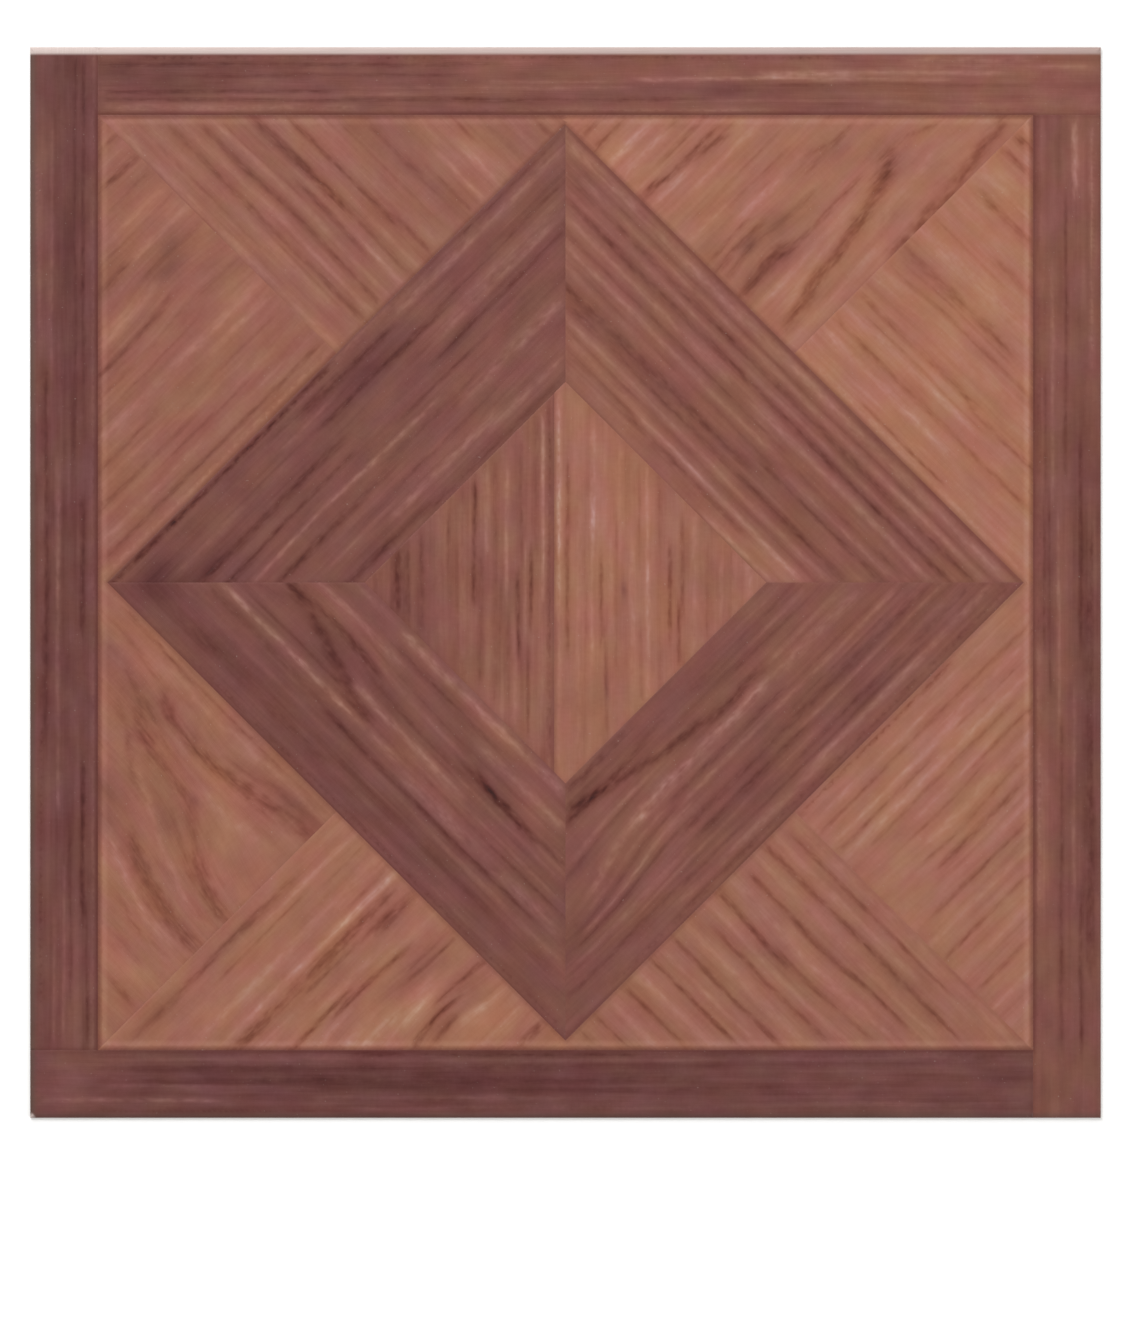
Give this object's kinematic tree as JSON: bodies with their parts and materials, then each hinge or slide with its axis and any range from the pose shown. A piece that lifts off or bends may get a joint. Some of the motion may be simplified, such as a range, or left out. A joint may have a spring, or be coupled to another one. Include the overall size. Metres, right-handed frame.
{
  "type": "vinyl floor tile",
  "caption": "Thin square vinyl floor tile printed as a wood parquet: a diamond of mitred boards in a dark border, with pressed joints, rolled edges and a flat back.",
  "frame": {"origin": "middle of the flat back", "axes": "+Z out of the printed face, +Y towards the edge that is at the top of the design, +X to the right of it"},
  "size_m": [0.3048, 0.3048, 0.0012],
  "materials": {
    "printed_vinyl": "satin, printed and embossed"
  },
  "bodies": {
    "root": {"tile": "printed_vinyl"}
  },
  "joints": []
}
